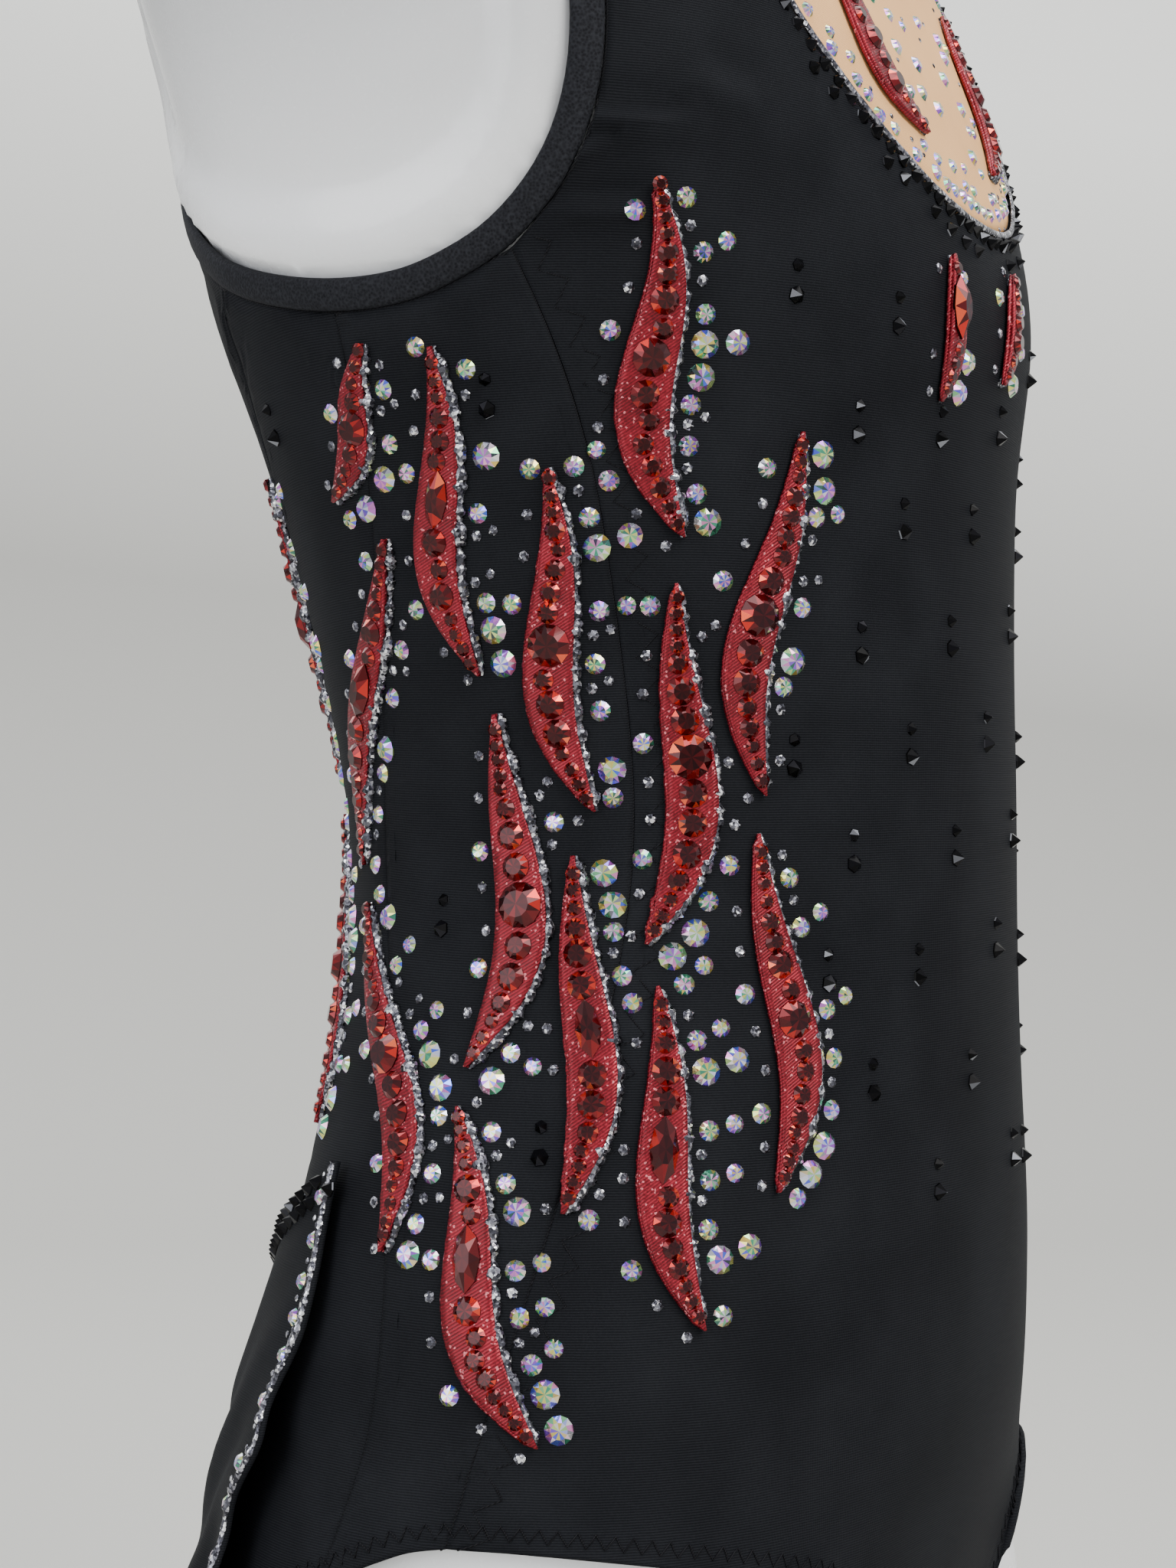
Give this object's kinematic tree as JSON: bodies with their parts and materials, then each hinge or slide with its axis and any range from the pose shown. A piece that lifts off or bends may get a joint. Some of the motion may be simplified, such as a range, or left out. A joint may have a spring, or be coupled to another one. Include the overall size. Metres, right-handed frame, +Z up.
{
  "type": "rhythmic gymnastics leotard on a limbless torso form",
  "caption": "Sleeveless black stretch leotard with a nude mesh yoke, red leaf appliques and a short back skirt, worn by a white limbless torso form that stands on its thigh stubs.",
  "frame": {"origin": "on the floor under the middle of the whole object's box, between the two thigh stubs", "axes": "+Z up along the body, -Y the way the wearer's front faces, -X the wearer's right side"},
  "size_m": [0.29, 0.1992, 0.672],
  "materials": {
    "black_knit": "matte satin stretch knit",
    "black_binding": "dull ribbed tape",
    "nude_mesh": "fine stretch mesh",
    "red_foil": "foiled knit with glitter",
    "silver_glitter": "glitter cord",
    "white_gloss": "glossy painted shell"
  },
  "bodies": {
    "root": {"torso_form": "white_gloss", "front_panel": "black_knit", "side_panel_right": "black_knit", "side_panel_left": "black_knit", "side_back_panel_right": "black_knit", "side_back_panel_left": "black_knit", "back_panel": "black_knit", "back_skirt": "black_knit", "nude_yoke": "nude_mesh", "armhole_binding_right": "black_binding", "armhole_binding_left": "black_binding", "neck_binding": "black_binding", "neckline_cord": "silver_glitter", "leaf_right_1": "red_foil", "leaf_right_2": "red_foil", "leaf_right_3": "red_foil", "leaf_right_4": "red_foil", "leaf_right_5": "red_foil", "leaf_right_6": "red_foil", "leaf_right_7": "red_foil", "leaf_right_8": "red_foil", "leaf_right_9": "red_foil", "leaf_right_10": "red_foil", "leaf_right_11": "red_foil", "leaf_right_12": "red_foil", "leaf_right_13": "red_foil", "leaf_right_14": "red_foil", "leaf_right_15": "red_foil", "leaf_left_1": "red_foil", "leaf_left_2": "red_foil", "leaf_left_3": "red_foil", "leaf_left_4": "red_foil", "leaf_left_5": "red_foil", "leaf_left_6": "red_foil", "leaf_left_7": "red_foil", "leaf_left_8": "red_foil", "leaf_left_9": "red_foil", "leaf_left_10": "red_foil", "leaf_yoke_1": "red_foil", "leaf_yoke_2": "red_foil", "leaf_yoke_3": "red_foil", "leaf_front_1": "red_foil", "leaf_front_2": "red_foil"}
  },
  "joints": []
}
